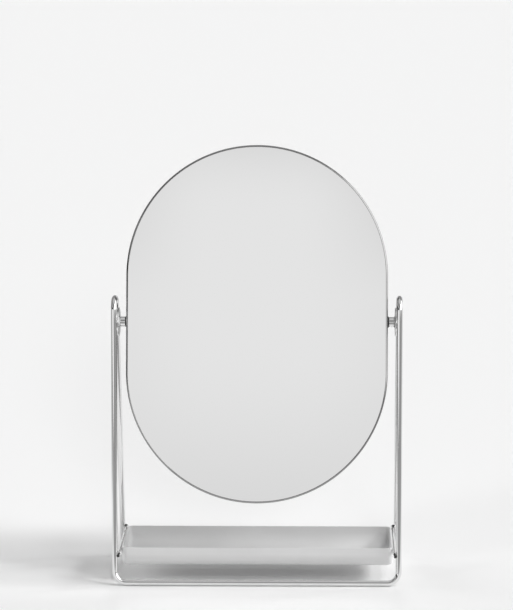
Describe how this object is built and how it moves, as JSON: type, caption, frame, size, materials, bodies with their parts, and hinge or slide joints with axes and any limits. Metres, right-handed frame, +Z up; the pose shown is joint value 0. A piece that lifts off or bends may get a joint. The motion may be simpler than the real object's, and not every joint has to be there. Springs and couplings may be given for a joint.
{
  "type": "tilting table mirror with tray",
  "caption": "Pill-shaped table mirror in a thin bright rim, tilting on a bent wire stand with a shallow tray between its legs.",
  "frame": {"origin": "on the table, in the middle between the four legs", "axes": "+Z up, the mirror faces -Y, +X to the right of someone looking into it"},
  "size_m": [0.2, 0.07, 0.2993],
  "materials": {
    "stand_chrome": "bright chromed steel wire",
    "rim_chrome": "bright chromed sheet",
    "fitting_chrome": "bright chromed turned steel",
    "tray_paint": "satin light grey powder coat",
    "silvered_glass": "silvered float glass",
    "cushion_foam": "closed-cell foam sheet",
    "filler_board": "honeycomb board",
    "panel_paint": "satin light grey powder coat",
    "plain_steel": "zinc-plated",
    "gasket_rubber": "matte black",
    "washer_nylon": "natural nylon",
    "screw_steel": "nickel-plated"
  },
  "bodies": {
    "stand": {"front_base_wire": "stand_chrome", "rear_base_wire": "stand_chrome", "left_side_wire": "stand_chrome", "right_side_wire": "stand_chrome", "left_tray_rail": "stand_chrome", "right_tray_rail": "stand_chrome", "tray": "tray_paint", "left_pivot_disc": "stand_chrome", "right_pivot_disc": "stand_chrome"},
    "mirror": {"mirror_rim": "rim_chrome", "mirror_glass": "silvered_glass", "cushion_sheet": "cushion_foam", "core_board": "filler_board", "back_panel": "panel_paint", "left_pivot_block": "plain_steel", "right_pivot_block": "plain_steel", "left_gasket": "gasket_rubber", "right_gasket": "gasket_rubber", "left_spacer_barrel": "fitting_chrome", "right_spacer_barrel": "fitting_chrome", "left_inner_washer": "washer_nylon", "right_inner_washer": "washer_nylon", "left_outer_washer": "washer_nylon", "right_outer_washer": "washer_nylon", "left_pivot_screw": "screw_steel", "right_pivot_screw": "screw_steel"}
  },
  "joints": [
    {"name": "mirror_tilt", "type": "hinge", "parent": "stand", "child": "mirror", "pos_m": [0, 0, 0.1795], "axis": [1, 0, 0], "continuous": true}
  ]
}
